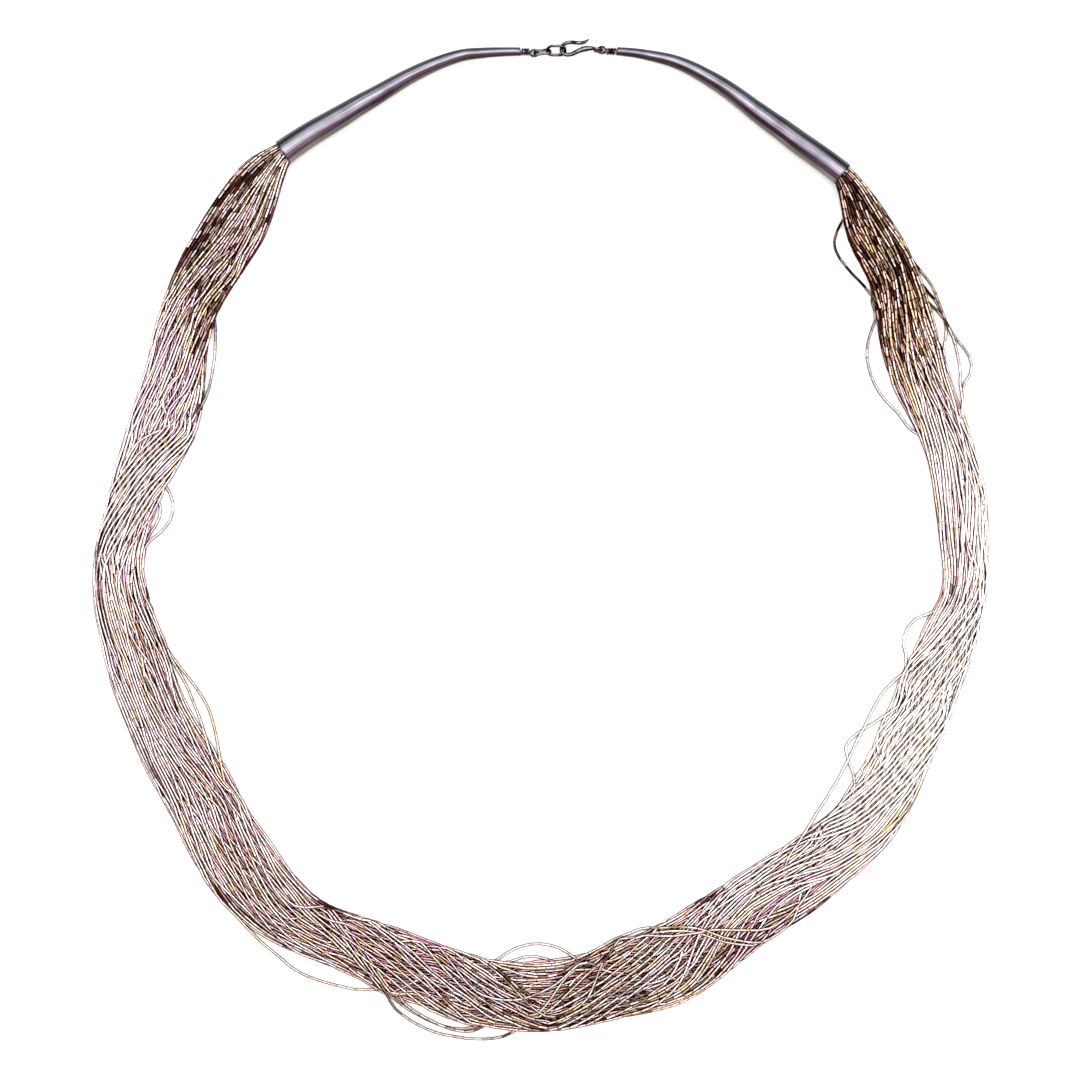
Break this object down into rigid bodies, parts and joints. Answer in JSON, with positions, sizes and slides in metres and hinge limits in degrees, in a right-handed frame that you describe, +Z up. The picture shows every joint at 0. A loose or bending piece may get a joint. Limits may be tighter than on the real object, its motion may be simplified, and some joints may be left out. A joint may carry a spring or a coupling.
{
  "type": "multi-strand necklace",
  "caption": "Open necklace of many fine silver tube-bead strands lying in a loose bundle, held in long curved silver cones and closed by a forged hook through a wire link.",
  "frame": {"origin": "middle of the necklace's outline on the surface that it lies on", "axes": "+Z up from the surface, +Y towards the clasp, +X to the right seen from above"},
  "size_m": [0.2688, 0.3004, 0.0079],
  "materials": {
    "strand_silver": "fine polished silver tube beads with a warm tone",
    "cone_silver": "polished hand-raised silver sheet",
    "clasp_silver": "darkened silver wire, hammered bright on its high faces"
  },
  "bodies": {
    "root": {"strand_bundle": "strand_silver", "left_cone": "cone_silver", "right_cone": "cone_silver", "left_eye": "clasp_silver", "right_eye": "clasp_silver", "small_link": "clasp_silver", "oval_link": "clasp_silver", "hook": "clasp_silver", "loose_strand_left_upper": "strand_silver", "loose_strand_left_knot": "strand_silver", "loose_strand_left_lower": "strand_silver", "loose_strand_bottom_left": "strand_silver", "loose_strand_bottom_outer": "strand_silver", "loose_strand_bottom_second": "strand_silver", "loose_strand_bottom_inner": "strand_silver", "loose_strand_right_crossing": "strand_silver", "loose_strand_right_kinked": "strand_silver", "loose_strand_right_bulge": "strand_silver", "loose_strand_right_upper": "strand_silver", "loose_strand_right_inner": "strand_silver", "loose_strand_right_outer": "strand_silver"}
  },
  "joints": []
}
